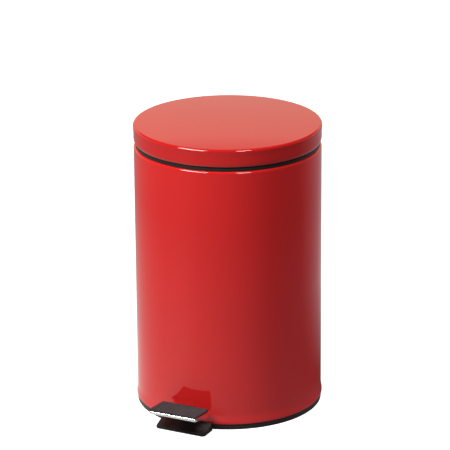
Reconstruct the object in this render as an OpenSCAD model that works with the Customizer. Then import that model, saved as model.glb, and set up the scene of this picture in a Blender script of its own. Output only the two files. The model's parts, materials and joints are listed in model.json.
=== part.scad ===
// Round step-on waste can: painted steel body on a plastic base ring, hinged lid, lift-out bucket.
// A foot pedal tips a lever under the floor pan, the lever's back end lifts a push rod, and the rod
// turns a crank on the lid's hinge leaf. +Z is up, the pedal points along -Y, the hinge is at +Y,
// and the origin is on the can's axis at the floor.

/* [Can] */
// Outer diameter of the painted body
can_d = 292; // [280:1:310]
// Height of the lid's top edge above the floor, lid shut
can_h = 455; // [430:1:500]
// Thickness of the painted sheet steel
sheet = 1; // [0.8:0.1:1.2]
// Height of the base ring's visible band
base_h = 8.5; // [8:0.5:10]
// Height of the gap between the body's shoulder and the lid's skirt
rim_gap = 7; // [6.5:0.5:8]

/* [Lid] */
// Height of the lid's skirt
skirt_h = 28; // [27:1:30]
// Rise of the lid's crown above its edge
crown = 3; // [2:0.5:5]
// Radius of the lid's top edge
lid_edge = 4; // [3:0.5:5]
// Swing of the lid from shut to open, in degrees
lid_swing = 75; // [60:1:75]

/* [Pedal] */
// Width of the rubber pad
pad_w = 79; // [70:0.5:80]
// Length of the rubber pad from back to front
pad_l = 45; // [38:1:46]
// Height of the pad's ribs above the floor at the pad's back edge
pad_z = 38; // [37.5:0.1:40]
// Slope of the pedal and the lever at rest, in degrees
pedal_slope = 4.9; // [4.5:0.1:5.2]
// Distance from the can's axis forward to the lever's pivot
pivot_y = 58; // [50:1:62]
// Number of ribs across the pad
pad_ribs = 9; // [6:1:11]

/* [Bucket] */
// Outer radius of the bucket's wall at the top
bucket_r = 127.6; // [120:0.1:127.6]
// Wall thickness of the bucket
bucket_t = 2; // [1.6:0.1:2.5]
// Diameter of the bucket's wire handle
bail_d = 4; // [3:0.5:4]

/* [Hidden] */

eps = 0.1;                          // overrun of a cut past the face it leaves
red = [0.78, 0.10, 0.10];
black = [0.13, 0.12, 0.12];
steel = [0.72, 0.73, 0.75];
round_fn = 180;                     // facets of the large turned shells

// body shell
can_r = can_d / 2;
wall_r = can_r - sheet;             // inside of the body's wall
lid_z0 = can_h - skirt_h;           // bottom edge of the lid's skirt
body_top = lid_z0 - rim_gap;        // top of the body's shoulder
shoulder_r = 3.5;                   // radius of the shoulder's edge
mouth_r = can_r - 5.2;              // inner edge of the body's top flange
bead_r = 1.8;                       // rolled bead at the body's foot
bead_z = base_h + 2;
back_gap_x0 = -6.5;                 // gap at the back for the crank and the rod
back_gap_x1 = 13.5;
lever_slot_z0 = 15;                 // slot in the wall for the lever
lever_slot_h = 20;
rivet_r = 2;                        // shank of a rivet
leaf_rivet_r = 1.6;                 // shank of the hinge leaf's rivets

// floor pan
pan_z = 48;                         // underside of the floor pan
pan_r = wall_r - 0.3;
pan_skirt = 10;                     // depth of the pan's downturned edge

// base ring
ring_in_r = can_r - 9;
spigot_r = wall_r - 1.3;
spigot_top = 16;
lever_gap = 32;                     // gap in the spigot for the lever, front and back

// stabiliser foot
foot_w = 85;
foot_front_y = 174.4;
foot_back_y = 148.2;
foot_back_z = 11.6;
foot_front_z = 2.5;
tongue_w = 60;
tongue_t = 3.5;
tongue_y = 120;                     // inner end of the tongue
tongue_gap = 0.3;                   // room round the tongue
screw_x = 18;
screw_y = 128;
screw_r = 1.9;

// rim ring
band_r = can_r - 2.8;               // outside of the black band under the lid
lip_r = can_r - 6.7;                // outside of the upright lip
lip_in_r = can_r - 9.5;
lip_top = can_h - 9;
rim_seat_z = body_top + 0.2;
buffer_top = can_h - sheet - 0.25;

// lid
lid_r = can_r + 0.8;

// lid hinge and crank
hinge_y = can_r + 10;
hinge_z = lid_z0 + 10;
hinge_pin_r = 2.5;
knuckle_r = 6;
running_gap = 0.06;                 // radial clearance of a pin in a moving bore
seat_gap = 0.03;                    // radial clearance of a fixed pin, rivet or screw
ear_t = 2.5;                        // thickness of the hinge's ears
bracket_ear_x = 20.5;
leaf_ear_x = 14.2;
bracket_rivets_x = [-12, 12];
bracket_rivets_z = [hinge_z - 45, hinge_z - 29];
leaf_rivets_x = [-9, 9];
leaf_rivet_z = lid_z0 + 18;

// lever, in a side view of y and z
pad_t = 3.5;                        // pad with its ribs
plate_t = 1.2;
web_t = 2;
lever_w = 24;
pad_back_y = -151.5;
slope = tan(pedal_slope);
bend_y = 40;                        // behind this the lever runs level
lever_end_y = can_r - 3.5;
pivot_z = 18.5;
pivot_r = 3;
bush_r = 4.5;
pivot_rivets_y = [-pivot_y - 12, -pivot_y + 12];
plate_rivets_y = [-12, -30];        // in the pedal's frame
function lever_top(y) =
    pad_z - (pad_t + plate_t) / cos(pedal_slope) - slope * (min(y, bend_y) - pad_back_y);

// push rod: the crank is sized so that its rise matches the lever's
rod_r = 2;
rod_x = 7;
lever_ratio = 0.1;                  // lever's angle over the lid's angle
rod_rise = (can_r - 6.8 + pivot_y) * sin(lever_ratio * lid_swing);
crank_r = rod_rise / (2 * sin(lid_swing / 2));
crank_y = hinge_y - crank_r * cos(lid_swing / 2);
crank_z = hinge_z - crank_r * sin(lid_swing / 2);
crank_t = 3;
rod_foot_gap = 0.8;                 // open pivot between the rod's foot and the lever
rod_foot_z = lever_top(lever_end_y) + rod_foot_gap;
guide_z = 232;
guide_rivet_x = rod_x - 12;

// bucket
bucket_z0 = pan_z + sheet + 0.2;
bucket_top = body_top + 4;
bail_z = bucket_top - 7;
bail_arc_r = bucket_r - 8.6;
grip_r = 4.5;

// ---- shared shapes ----

// Cylinder along Y from y to y + h
module y_rod(r, h, x, y, z)
    translate([x, y, z]) rotate([-90, 0, 0]) cylinder(r = r, h = h, $fn = 32);

// Rod along X, centred on x = 0
module x_rod(r, length, y, z, fn = 48)
    translate([-length / 2, y, z]) rotate([0, 90, 0]) cylinder(r = r, h = length, $fn = fn);

// Ring along X from x0 to x0 + t
module x_ring(r_out, r_in, x0, t, y, z)
    translate([x0, y, z]) rotate([0, 90, 0]) difference() {
        cylinder(r = r_out, h = t, $fn = 48);
        translate([0, 0, -eps]) cylinder(r = r_in, h = t + 2 * eps, $fn = 48);
    }

// Slab cut from a side view: the children are drawn with y across and z up, and run from x0 for t
module side_slab(x0, t)
    translate([x0, 0, 0]) rotate([90, 0, 90]) linear_extrude(height = t) children();

// Part of a turned ring, centred on the direction `at` in degrees
module ring_part(at, span, fn = 180)
    rotate([0, 0, at - span / 2]) rotate_extrude(angle = span, $fn = fn) children();

// Quarter of a ring in the r-z plane: the upper outer corner of a turned sheet
module corner_band(r, z, outer, t)
    translate([r, z]) intersection() {
        difference() {
            circle(r = outer, $fn = 96);
            circle(r = outer - t, $fn = 96);
        }
        square(outer + eps);
    }

// Solid r-z outline of the lid: straight skirt, round edge, shallow crown
module lid_outline(r, edge, z_low, z_edge, rise) {
    flat_r = r - edge;
    crown_r = (flat_r * flat_r + rise * rise) / (2 * rise);
    translate([0, z_low]) square([r, z_edge - edge - z_low]);
    intersection() {
        translate([0, z_low]) square([flat_r, z_edge + rise - z_low]);
        translate([0, z_edge + rise - crown_r]) circle(r = crown_r, $fn = 1440);
    }
    translate([flat_r, z_edge - edge]) circle(r = edge, $fn = 96);
}

// E-clip on a pin that runs along X
module pin_clip(pin_r, x0, y, z)
    difference() {
        x_ring(pin_r + 2.6, pin_r + seat_gap, x0, 1, y, z);
        translate([x0 - eps, y - pin_r * 0.7, z - pin_r - 4])
            cube([1 + 2 * eps, pin_r * 1.4, pin_r + 4]);
    }

// Frame of the pedal: y runs up the slope to the front, z = 0 is the plate's top at the pad's back
module on_pedal()
    translate([0, pad_back_y, pad_z - pad_t / cos(pedal_slope)]) rotate([-pedal_slope, 0, 0]) children();

// ---- can ----

module body_shell() color(red) difference() {
    rotate_extrude($fn = round_fn) {
        translate([wall_r, bead_z]) square([sheet, body_top - shoulder_r - bead_z]);
        corner_band(can_r - shoulder_r, body_top - shoulder_r, shoulder_r, sheet);
        translate([mouth_r, body_top - sheet]) square([can_r - shoulder_r - mouth_r, sheet]);
        translate([can_r - 0.2, bead_z]) circle(r = bead_r, $fn = 48);
    }
    // slot for the pedal lever
    translate([-lever_gap / 2 + 2, -can_r - 5, lever_slot_z0])
        cube([lever_gap - 4, 20, lever_slot_h]);
    // gap in the top flange for the crank and the push rod
    translate([back_gap_x0, can_r - 14, body_top - 2]) cube([back_gap_x1 - back_gap_x0, 11, 4]);
    // holes for the hinge bracket's rivets and the rod guide's rivet
    for (z = bracket_rivets_z, x = bracket_rivets_x) y_rod(rivet_r + seat_gap, 12, x, can_r - 8, z);
    y_rod(rivet_r + seat_gap, 12, guide_rivet_x, can_r - 8, guide_z);
}

module floor_pan() color(steel) difference() {
    rotate_extrude($fn = round_fn) {
        translate([0, pan_z]) square([pan_r, sheet]);
        translate([pan_r - sheet, pan_z - pan_skirt]) square([sheet, pan_skirt + eps]);
    }
    // notches over the lever's back end and for the push rod's foot
    translate([-lever_gap / 2, can_r - 9, pan_z - 11]) cube([lever_gap, 12, 11]);
    translate([rod_x - 6, crank_y - 10, pan_z - eps]) cube([12, 30, sheet + 2 * eps]);
    // notch over the lever at the front
    translate([-lever_gap / 2, -can_r - 1, pan_z - 11]) cube([lever_gap, 12, 8]);
    for (y = pivot_rivets_y) translate([0, y, pan_z - eps])
        cylinder(r = rivet_r + seat_gap, h = sheet + 2 * eps, $fn = 32);
}

module base_ring() color(black) difference() {
    union() {
        rotate_extrude($fn = round_fn) {
            translate([ring_in_r, 0]) square([can_r - ring_in_r, 3]);
            translate([spigot_r - 3, 0]) square([can_r - spigot_r + 3, base_h]);
            translate([spigot_r - 3, 0]) square([3, spigot_top]);
        }
        // ledge for the stabiliser foot, and a shelf for the lever stop
        intersection() {
            cylinder(r = spigot_r - 1, h = base_h, $fn = round_fn);
            translate([-tongue_w / 2 - 5, -can_r, tongue_t + tongue_gap])
                cube([tongue_w + 10, can_r - tongue_y, base_h - tongue_t - tongue_gap]);
        }
        intersection() {
            cylinder(r = spigot_r - 1, h = 3, $fn = round_fn);
            translate([-18, 122, 0]) cube([36, 20, 3]);
        }
    }
    // the foot's tongue passes under the ring at the front
    translate([-tongue_w / 2 - tongue_gap, -can_r - 2, -eps])
        cube([tongue_w + 2 * tongue_gap, can_r + 3 - tongue_y, tongue_t + tongue_gap + eps]);
    // the lever passes through the spigot at the front and ends over it at the back
    for (side = [-1, 1]) translate([-lever_gap / 2, side * (can_r - 10) - 10, base_h])
        cube([lever_gap, 20, 20]);
    for (x = [-screw_x, screw_x]) translate([x, -screw_y, 0])
        cylinder(r = screw_r + seat_gap, h = base_h + eps, $fn = 32);
}

module stabiliser_foot() color(black) difference() {
    union() {
        difference() {
            side_slab(-foot_w / 2, foot_w) polygon([
                [-foot_front_y, 0], [-foot_front_y, foot_front_z],
                [-foot_back_y + 3, foot_back_z + 1], [-foot_back_y + 3, 0]
            ]);
            // hollow of the can's foot and the bead over it
            translate([0, 0, -eps]) cylinder(r = can_r + 0.3, h = base_h, $fn = round_fn);
            translate([0, 0, base_h - 0.3]) cylinder(r = can_r + bead_r + 0.1, h = 8, $fn = round_fn);
            // bevelled front corners
            for (side = [-1, 1]) translate([side * foot_w / 2, -foot_front_y, -eps])
                rotate([0, 0, 45]) cube([5, 5, 40], center = true);
        }
        translate([-tongue_w / 2, -can_r - 4, 0]) cube([tongue_w, can_r + 4 - tongue_y, tongue_t]);
    }
    for (x = [-screw_x, screw_x]) translate([x, -screw_y, -eps]) {
        cylinder(r = screw_r + seat_gap, h = tongue_t + 2 * eps, $fn = 32);
        cylinder(r = 4, h = 1.8 + eps, $fn = 32);
    }
}

module foot_screws() color(steel)
    for (x = [-screw_x, screw_x]) translate([x, -screw_y, 0]) difference() {
        union() {
            translate([0, 0, 0.3]) cylinder(r = 3.6, h = 1.5, $fn = 32);
            translate([0, 0, 1]) cylinder(r = screw_r, h = base_h - 1.5, $fn = 32);
        }
        // cross recess
        for (turn = [0, 90]) rotate([0, 0, turn]) translate([-2, -0.4, 0]) cube([4, 0.8, 1.2]);
    }

module rim_ring() color(black) difference() {
    rotate_extrude($fn = round_fn) {
        translate([lip_in_r, rim_seat_z]) square([band_r - lip_in_r, 2]);
        translate([band_r - 2, rim_seat_z]) square([2, rim_gap - 1.5]);
        translate([lip_in_r, rim_seat_z]) square([lip_r - lip_in_r, lip_top - rim_seat_z]);
        translate([mouth_r - 2.4, body_top - 16]) square([2, 18]);
    }
    // gap at the back for the crank and the push rod
    translate([back_gap_x0 - 1, can_r - 16, body_top - 20])
        cube([back_gap_x1 - back_gap_x0 + 2, 30, 60]);
}

module lid_buffers() color(black)
    for (at = [35, 145, 215, 325]) difference() {
        ring_part(at, 5) translate([lip_in_r - 1, lip_top - 5])
            square([lip_r - lip_in_r + 2, buffer_top - lip_top + 5]);
        ring_part(at, 9) translate([lip_in_r - 0.03, lip_top - 6])
            square([lip_r - lip_in_r + 0.06, 6.03]);
    }

// ---- hinge and crank ----

module hinge_bracket() color(steel) {
    difference() {
        ring_part(90, 20) translate([can_r + 0.1, hinge_z - 54]) square([2, 34]);
        for (z = bracket_rivets_z, x = bracket_rivets_x) y_rod(rivet_r + seat_gap, 12, x, can_r - 4, z);
    }
    for (side = [-1, 1]) difference() {
        side_slab(side * bracket_ear_x - ear_t / 2, ear_t) {
            polygon([
                [can_r, hinge_z - 50], [can_r + 8, hinge_z - 30], [hinge_y + 6, hinge_z],
                [hinge_y - 6, hinge_z], [can_r + 1.5, hinge_z - 20.5], [can_r, hinge_z - 20.5]
            ]);
            translate([hinge_y, hinge_z]) circle(r = knuckle_r, $fn = 64);
        }
        x_rod(hinge_pin_r + seat_gap, 60, hinge_y, hinge_z);
    }
}

module hinge_bracket_rivets() color(steel)
    for (z = bracket_rivets_z, x = bracket_rivets_x)
        translate([x, 0, z]) rotate([-90, 0, 0]) {
            translate([0, 0, wall_r - 2.8]) cylinder(r = rivet_r, h = 6, $fn = 32);
            translate([0, 0, wall_r - 2.8]) cylinder(r = 3.6, h = 1.2, $fn = 32);
            translate([0, 0, can_r + 1.95]) cylinder(r1 = 3.8, r2 = 2.6, h = 1.5, $fn = 32);
        }

module hinge_pin() color(steel) x_rod(hinge_pin_r, 48, hinge_y, hinge_z);

module hinge_pin_clips() color(steel)
    for (x0 = [-23, 22]) pin_clip(hinge_pin_r, x0, hinge_y, hinge_z);

module hinge_leaf() color(steel) {
    difference() {
        ring_part(90, 12.4) translate([lid_r + 0.5, lid_z0 + 6]) square([2, 17]);
        for (x = leaf_rivets_x) y_rod(leaf_rivet_r + seat_gap, 14, x, can_r - 8, leaf_rivet_z);
    }
    // two ears on the pin
    for (side = [-1, 1]) difference() {
        side_slab(side * leaf_ear_x - ear_t / 2, ear_t) {
            polygon([
                [lid_r + 1.2, lid_z0 + 6], [hinge_y, hinge_z - 6], [hinge_y, hinge_z + 6],
                [lid_r + 1.2, lid_z0 + 22]
            ]);
            translate([hinge_y, hinge_z]) circle(r = knuckle_r, $fn = 64);
        }
        x_rod(hinge_pin_r + running_gap, 60, hinge_y, hinge_z);
    }
    // crank arm, through the notch in the skirt
    difference() {
        side_slab(-crank_t / 2, crank_t) {
            translate([crank_y, crank_z]) rotate(lid_swing / 2)
                translate([0, -4.5]) square([crank_r, 9]);
            translate([crank_y, crank_z]) circle(r = 4.5, $fn = 64);
            translate([hinge_y, hinge_z]) circle(r = knuckle_r, $fn = 64);
            polygon([
                [lid_r + 1.2, lid_z0 + 6], [hinge_y, hinge_z], [hinge_y, hinge_z + 6],
                [lid_r + 1.2, lid_z0 + 22]
            ]);
        }
        x_rod(hinge_pin_r + running_gap, 60, hinge_y, hinge_z);
        x_rod(rod_r + running_gap, 20, crank_y, crank_z);
    }
}

module hinge_leaf_rivets() color(steel)
    for (x = leaf_rivets_x) translate([x, 0, leaf_rivet_z]) rotate([-90, 0, 0]) {
        translate([0, 0, can_r - 2.4]) cylinder(r = leaf_rivet_r, h = 6, $fn = 32);
        translate([0, 0, can_r - 2.6]) cylinder(r = 3, h = 1.2, $fn = 32);
        translate([0, 0, lid_r + 2.42]) cylinder(r1 = 3, r2 = 2, h = 1.2, $fn = 32);
    }

module lid_shell() color(red) difference() {
    rotate_extrude($fn = round_fn) {
        difference() {
            lid_outline(lid_r, lid_edge, lid_z0 + 0.6, can_h, crown);
            lid_outline(lid_r - sheet, lid_edge - sheet, lid_z0 - 1, can_h - sheet, crown);
        }
        // rolled hem
        translate([lid_r - 0.5, lid_z0 + 0.9]) circle(r = 0.9, $fn = 32);
    }
    // notch for the crank arm
    translate([-4, can_r - 6, lid_z0 - 1]) cube([8, 12, 13]);
    for (x = leaf_rivets_x) y_rod(leaf_rivet_r + seat_gap, 14, x, can_r - 8, leaf_rivet_z);
}

// ---- lever and pedal ----

module pivot_bracket() color(steel) difference() {
    union() {
        translate([-15.5, -pivot_y - 20, pan_z - 2]) cube([31, 40, 2]);
        for (x0 = [-15.5, 13.5]) side_slab(x0, 2) {
            polygon([
                [-pivot_y - 20, pan_z - 2], [-pivot_y - 8, pivot_z], [-pivot_y + 8, pivot_z],
                [-pivot_y + 20, pan_z - 2]
            ]);
            translate([-pivot_y, pivot_z]) circle(r = 8, $fn = 64);
        }
    }
    x_rod(pivot_r + seat_gap, 40, -pivot_y, pivot_z);
    for (y = pivot_rivets_y) translate([0, y, pan_z - 3])
        cylinder(r = rivet_r + seat_gap, h = 4, $fn = 32);
}

module pivot_bracket_rivets() color(steel)
    for (y = pivot_rivets_y) translate([0, y, pan_z]) {
        translate([0, 0, -3]) cylinder(r = rivet_r, h = 4.6, $fn = 32);
        translate([0, 0, -3.2]) cylinder(r = 3.8, h = 1.2, $fn = 32);
        translate([0, 0, sheet]) cylinder(r1 = 3.8, r2 = 2.8, h = 1.4, $fn = 32);
    }

module lever_pin() color(steel) x_rod(pivot_r, 36, -pivot_y, pivot_z);

module lever_pin_clips() color(steel)
    for (x0 = [-16.8, 15.8]) pin_clip(pivot_r, x0, -pivot_y, pivot_z);

module lever_bush() color([0.62, 0.55, 0.35])
    x_ring(bush_r, pivot_r + running_gap, -13.2, 26.4, -pivot_y, pivot_z);

// Folded channel with its web on top, open below
module pedal_lever() color(steel) {
    front_y = pad_back_y - 36;
    deep = 6;                       // depth of the side flanges away from the pivot
    ear_r = 7;                      // ears round the pivot bush
    difference() {
        union() {
            side_slab(-lever_w / 2, lever_w) polygon([
                [front_y, lever_top(front_y)], [bend_y, lever_top(bend_y)],
                [lever_end_y, lever_top(bend_y)], [lever_end_y, lever_top(bend_y) - deep],
                [bend_y, lever_top(bend_y) - deep], [-pivot_y + ear_r - 0.6, pivot_z - 3],
                [-pivot_y - ear_r + 0.6, pivot_z - 3], [-pivot_y - 40, lever_top(-pivot_y - 40) - deep],
                [front_y + 6, lever_top(front_y + 6) - deep], [front_y, lever_top(front_y) - web_t - 1]
            ]);
            x_rod(ear_r, lever_w, -pivot_y, pivot_z, 64);
        }
        // inside of the fold, below the web
        side_slab(-lever_w / 2 + web_t, lever_w - 2 * web_t) polygon([
            [front_y - 5, lever_top(front_y - 5) - web_t], [bend_y, lever_top(bend_y) - web_t],
            [lever_end_y + 5, lever_top(bend_y) - web_t], [lever_end_y + 5, 0], [front_y - 5, 0]
        ]);
        x_rod(bush_r + seat_gap, 40, -pivot_y, pivot_z);
        on_pedal() for (y = plate_rivets_y) translate([0, y, -8])
            cylinder(r = rivet_r + seat_gap, h = 12, $fn = 32);
    }
}

module pedal_plate() color([0.85, 0.86, 0.88]) {
    plate_w = pad_w + 2;
    back = -2.5;
    front = -pad_l - 3;             // in the pedal's frame the front is along -y
    corner = 3;
    on_pedal() difference() {
        union() {
            translate([-plate_w / 2, front, -plate_t]) cube([plate_w, back - front, plate_t]);
            // front lip
            translate([-plate_w / 2, front, -4.2]) cube([plate_w, plate_t, 4.2]);
            // side flanges, deeper towards the can, with clipped front corners
            for (x0 = [-plate_w / 2, plate_w / 2 - plate_t]) side_slab(x0, plate_t) polygon([
                [front, 0], [back, 0], [back, -10], [back - 4, -10.2], [front + 5, -4.6], [front, -3]
            ]);
        }
        for (y = plate_rivets_y) translate([0, y, -8])
            cylinder(r = rivet_r + seat_gap, h = 12, $fn = 32);
        // rounded front corners
        for (side = [-1, 1]) translate([side * (plate_w / 2 - corner), front + corner, -20]) difference() {
            translate([side > 0 ? 0 : -4, -4, 0]) cube([4, 4, 40]);
            translate([0, 0, -eps]) cylinder(r = corner, h = 41, $fn = 48);
        }
    }
}

module pedal_rivets() color(steel) on_pedal()
    for (y = plate_rivets_y) translate([0, y, 0]) {
        translate([0, 0, -plate_t - web_t - 1]) cylinder(r = rivet_r, h = plate_t + web_t + 1, $fn = 32);
        translate([0, 0, -plate_t - web_t - 1.8]) cylinder(r = 3.6, h = 1.6, $fn = 32);
    }

module pedal_pad() color(black) on_pedal() {
    rib_h = 1.4;
    base_t = pad_t - rib_h;
    pitch = pad_l / pad_ribs;
    translate([0, 0, 0.02]) {
        translate([-pad_w / 2, -pad_l, 0]) cube([pad_w, pad_l, base_t]);
        for (i = [0 : pad_ribs - 1]) translate([-pad_w / 2, -pad_l + i * pitch, base_t - eps])
            cube([pad_w, pitch * 0.6, rib_h + eps]);
    }
}

module lever_stop() color(black)
    translate([-13, 125, 3.02]) cube([26, 10, lever_top(bend_y) - 6 - 3.02 - 0.4]);

// ---- push rod ----

module push_rod() color(steel) {
    translate([rod_x, crank_y, rod_foot_z + 4]) cylinder(r = rod_r, h = crank_z - rod_foot_z - 4, $fn = 32);
    translate([rod_x, crank_y, crank_z]) sphere(r = rod_r, $fn = 32);
    translate([-4, crank_y, crank_z]) rotate([0, 90, 0]) cylinder(r = rod_r, h = rod_x + 4, $fn = 32);
}

module rod_foot() color(black) translate([rod_x, crank_y, rod_foot_z]) difference() {
    intersection() {
        cylinder(r = 3.5, h = 10, $fn = 48);
        translate([0, 0, 12]) sphere(r = 12, $fn = 96);
    }
    translate([0, 0, 4 - 0.02]) cylinder(r = rod_r + 0.02, h = 10, $fn = 32);
}

module rod_guide() color(black) difference() {
    union() {
        translate([rod_x - 5, crank_y - 9, guide_z - 2.5]) cube([10, 14, 5]);
        intersection() {
            translate([rod_x - 18, 120, guide_z - 6]) cube([23, 40, 12]);
            difference() {
                cylinder(r = wall_r - 0.1, h = 500, $fn = round_fn);
                translate([0, 0, -eps]) cylinder(r = wall_r - 2.3, h = 501, $fn = round_fn);
            }
        }
    }
    // slot that leaves the rod room to move towards the can's axis
    translate([rod_x - 2.6, crank_y - 6.5, guide_z - 8]) cube([5.2, 9.2, 16]);
    y_rod(rivet_r + seat_gap, 20, guide_rivet_x, can_r - 14, guide_z);
}

module rod_guide_rivet() color(steel)
    translate([guide_rivet_x, 0, guide_z]) rotate([-90, 0, 0]) {
        translate([0, 0, wall_r - 4]) cylinder(r = rivet_r, h = 6, $fn = 32);
        translate([0, 0, wall_r - 4.4]) cylinder(r = 3.6, h = 1.2, $fn = 32);
        translate([0, 0, can_r + 0.1]) cylinder(r1 = 3.6, r2 = 2.4, h = 1.4, $fn = 32);
    }

// ---- bucket ----

module inner_bucket() color([0.16, 0.16, 0.17]) {
    foot_r = bucket_r - 7.6;
    difference() {
        union() {
            rotate_extrude($fn = round_fn) polygon([
                [0, bucket_z0 + 5], [foot_r - 8, bucket_z0 + 5], [foot_r - 5, bucket_z0],
                [foot_r, bucket_z0], [foot_r + 2, bucket_z0 + 3], [bucket_r, bucket_top - 3],
                [bucket_r + 3.4, bucket_top - 3], [bucket_r + 3.4, bucket_top],
                [bucket_r - bucket_t, bucket_top], [foot_r, bucket_z0 + 7], [0, bucket_z0 + 7]
            ]);
            // bosses for the wire handle's ends
            for (x0 = [-bucket_r - 1.6, bucket_r - 1.4]) translate([x0, 0, bail_z]) rotate([0, 90, 0])
                cylinder(r = 3.9, h = 3, $fn = 48);
            // rests that the wire handle lies on
            for (at = [235, 305]) ring_part(at, 4)
                translate([bail_arc_r - 2, bail_z - 6]) square([bucket_r - bail_arc_r + 1, 3.6]);
        }
        x_rod(bail_d / 2 + running_gap, 2 * bucket_r + 20, 0, bail_z);
    }
}

// Half circle of wire whose ends turn out into the bosses; the wire is swollen where it is bent
module bucket_bail() color(steel) translate([0, 0, bail_z]) {
    stub_l = 11.2;
    ring_part(270, 180) translate([bail_arc_r, 0]) circle(r = bail_d / 2, $fn = 32);
    for (side = [-1, 1]) {
        translate([side * bail_arc_r, 0, 0]) sphere(r = bail_d / 2 + 0.4, $fn = 48);
        translate([side > 0 ? bail_arc_r : -bail_arc_r - stub_l, 0, 0]) rotate([0, 90, 0])
            cylinder(r = bail_d / 2, h = stub_l, $fn = 32);
    }
}

module bail_grip() color(black) translate([0, 0, bail_z])
    ring_part(270, 46) translate([bail_arc_r, 0]) difference() {
        circle(r = grip_r, $fn = 48);
        circle(r = bail_d / 2 + 0.02, $fn = 32);
    }

body_shell();
floor_pan();
base_ring();
stabiliser_foot();
foot_screws();
rim_ring();
lid_buffers();
hinge_bracket();
hinge_bracket_rivets();
hinge_pin();
hinge_pin_clips();
pivot_bracket();
pivot_bracket_rivets();
lever_pin();
lever_pin_clips();
lever_stop();
rod_guide();
rod_guide_rivet();
inner_bucket();
bucket_bail();
bail_grip();
pedal_lever();
lever_bush();
pedal_plate();
pedal_rivets();
pedal_pad();
push_rod();
rod_foot();
lid_shell();
hinge_leaf();
hinge_leaf_rivets();
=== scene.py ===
# %% [markdown]
# # A round step-on waste can
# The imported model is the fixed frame: every finished surface is built around it, in metres, with +Z up,
# the pedal along -Y and the lid's hinge at +Y. Sheet metal and plastic are surfaces worked out with
# numpy from an outline turned round an axis or carried along a path. Folded brackets, which have few
# points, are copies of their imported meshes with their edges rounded.

# %% Load the frame
import json

import bmesh
import bpy
import numpy as np
from mathutils import Matrix, Vector

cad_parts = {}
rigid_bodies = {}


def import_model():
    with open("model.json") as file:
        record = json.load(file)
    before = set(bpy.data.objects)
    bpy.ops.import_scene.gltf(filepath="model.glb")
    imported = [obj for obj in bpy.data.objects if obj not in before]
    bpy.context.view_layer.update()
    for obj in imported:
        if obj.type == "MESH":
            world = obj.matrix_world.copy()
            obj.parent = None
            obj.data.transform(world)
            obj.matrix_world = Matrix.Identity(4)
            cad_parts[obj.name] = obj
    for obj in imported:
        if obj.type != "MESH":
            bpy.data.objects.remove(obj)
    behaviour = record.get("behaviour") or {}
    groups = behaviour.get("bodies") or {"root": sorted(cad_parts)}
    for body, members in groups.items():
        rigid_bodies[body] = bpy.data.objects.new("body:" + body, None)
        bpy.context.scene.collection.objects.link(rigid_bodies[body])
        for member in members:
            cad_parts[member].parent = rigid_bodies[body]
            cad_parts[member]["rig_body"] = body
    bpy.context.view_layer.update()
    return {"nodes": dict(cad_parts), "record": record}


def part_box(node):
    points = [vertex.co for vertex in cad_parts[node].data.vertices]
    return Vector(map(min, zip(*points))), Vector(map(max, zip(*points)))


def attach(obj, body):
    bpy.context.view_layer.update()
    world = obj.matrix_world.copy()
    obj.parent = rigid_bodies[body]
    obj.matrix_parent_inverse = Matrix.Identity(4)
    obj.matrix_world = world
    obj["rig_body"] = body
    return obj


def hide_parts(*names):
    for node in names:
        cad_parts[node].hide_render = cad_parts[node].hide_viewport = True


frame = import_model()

MM = 0.001
record = frame["record"]
slot_of = {part["node"]: part["material_slot"] for part in record["subparts"]}

# %% [markdown]
# ## Driving sizes
# The main sizes are read from the frame's boxes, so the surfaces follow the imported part. Wall
# thicknesses, fold radii and slopes can't be read from a box and are named here.

# %% Sizes
CAN_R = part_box("base_ring")[1].x
BODY_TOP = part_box("body_shell")[1].z
LID_Z0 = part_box("lid_shell")[0].z
LID_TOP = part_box("lid_shell")[1].z
SHEET = 1.0 * MM
CROWN = 3.0 * MM
LID_EDGE_Z = LID_TOP - CROWN
LID_R = CAN_R + 0.8 * MM
PEDAL_SLOPE = np.radians(4.9)
PAD_BACK_Y = -151.5 * MM
PAD_Z = 38.0 * MM
PAD_T = 3.5 * MM
PLATE_T = 1.2 * MM
BAIL_Z = (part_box("bucket_bail")[0].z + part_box("bucket_bail")[1].z) / 2
print("can radius", round(CAN_R, 4), "m, lid top", round(LID_TOP, 4), "m")

# %% [markdown]
# ## Outlines
# An outline is a list of points in a plane. Straight stretches need only their ends, and round
# stretches are arcs. Moulded parts have no sharp corner, so `eased` swaps each corner for a short
# parabola: it starts and ends a set distance from the corner and is tangent to both sides.


# %% Arcs and eased outlines
def arc(centre, radius, start, end, count):
    """Centre plus radius times (cos a, sin a), with a going evenly from start to end in degrees."""
    a = np.radians(np.linspace(start, end, count))
    return np.asarray(centre) + radius * np.column_stack((np.cos(a), np.sin(a)))


def eased(corners, ease, steps=4, closed=True):
    """Near each corner P, with A and B a distance `ease` from it along the two sides:
    (1 - t)^2 A + 2 t (1 - t) P + t^2 B, for t going evenly from 0 to 1. An open outline keeps its ends."""
    p = np.asarray(corners, float)
    back, ahead = np.roll(p, 1, 0) - p, np.roll(p, -1, 0) - p
    back_len, ahead_len = (np.linalg.norm(v, axis=1) for v in (back, ahead))
    reach = np.minimum(np.broadcast_to(ease, len(p)), 0.45 * np.minimum(back_len, ahead_len))
    t = np.linspace(0, 1, steps)[None, :, None]
    a = back / back_len[:, None] * reach[:, None]
    b = ahead / ahead_len[:, None] * reach[:, None]
    bent = p[:, None] + (1 - t) ** 2 * a[:, None] + t**2 * b[:, None]
    return bent.reshape(-1, 2) if closed else np.vstack((p[:1], bent[1:-1].reshape(-1, 2), p[-1:]))


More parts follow.
